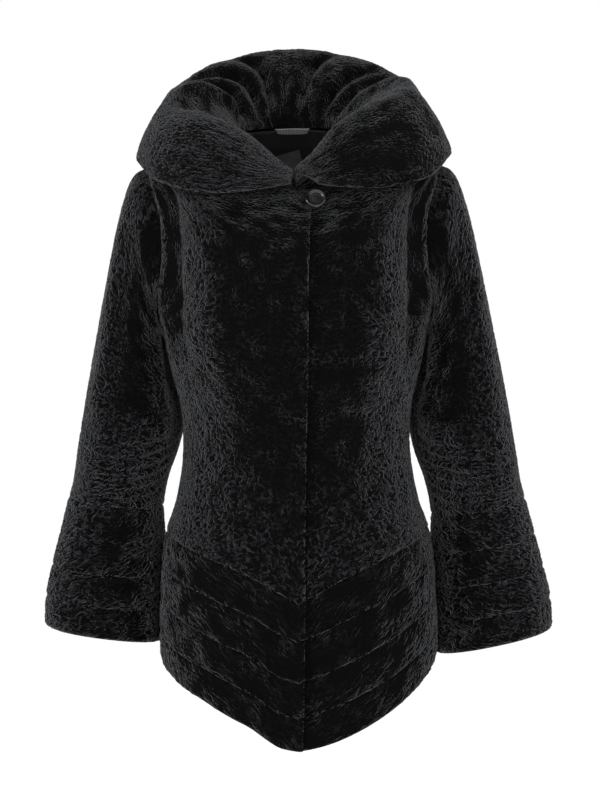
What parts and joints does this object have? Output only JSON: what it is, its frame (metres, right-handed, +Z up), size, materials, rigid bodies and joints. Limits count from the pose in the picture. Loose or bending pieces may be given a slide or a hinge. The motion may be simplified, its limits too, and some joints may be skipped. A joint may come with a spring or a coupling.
{
  "type": "shearling jacket",
  "caption": "Hip-length black curly shearling jacket, filled out as worn: wide gathered collar, bell sleeves, banded cuffs and a pointed banded hem, closed by a button.",
  "frame": {"origin": "the middle of the neck, level with the shoulders that carry the jacket", "axes": "+Z up, +X the wearer's left, +Y the back; the closing faces -Y"},
  "size_m": [0.664, 0.263, 0.9226],
  "materials": {
    "shearling": "curly sheared pile",
    "lining": "satin",
    "tape": "woven",
    "button": "polished horn"
  },
  "bodies": {
    "root": {"back": "shearling", "front_right": "shearling", "front_left": "shearling", "sleeve_right": "shearling", "sleeve_left": "shearling", "collar": "shearling", "cuff_band_1_right": "shearling", "cuff_band_1_left": "shearling", "cuff_band_2_right": "shearling", "cuff_band_2_left": "shearling", "cuff_band_3_right": "shearling", "cuff_band_3_left": "shearling", "cuff_band_4_right": "shearling", "cuff_band_4_left": "shearling", "hip_band_1_right": "shearling", "hip_band_1_left": "shearling", "hip_band_1_back": "shearling", "hip_band_2_right": "shearling", "hip_band_2_left": "shearling", "hip_band_2_back": "shearling", "hip_band_3_right": "shearling", "hip_band_3_left": "shearling", "hip_band_3_back": "shearling", "hip_band_4_right": "shearling", "hip_band_4_left": "shearling", "hip_band_4_back": "shearling", "neck_lining": "lining", "hanger_loop": "tape", "neck_patch": "tape", "button": "button"}
  },
  "joints": []
}
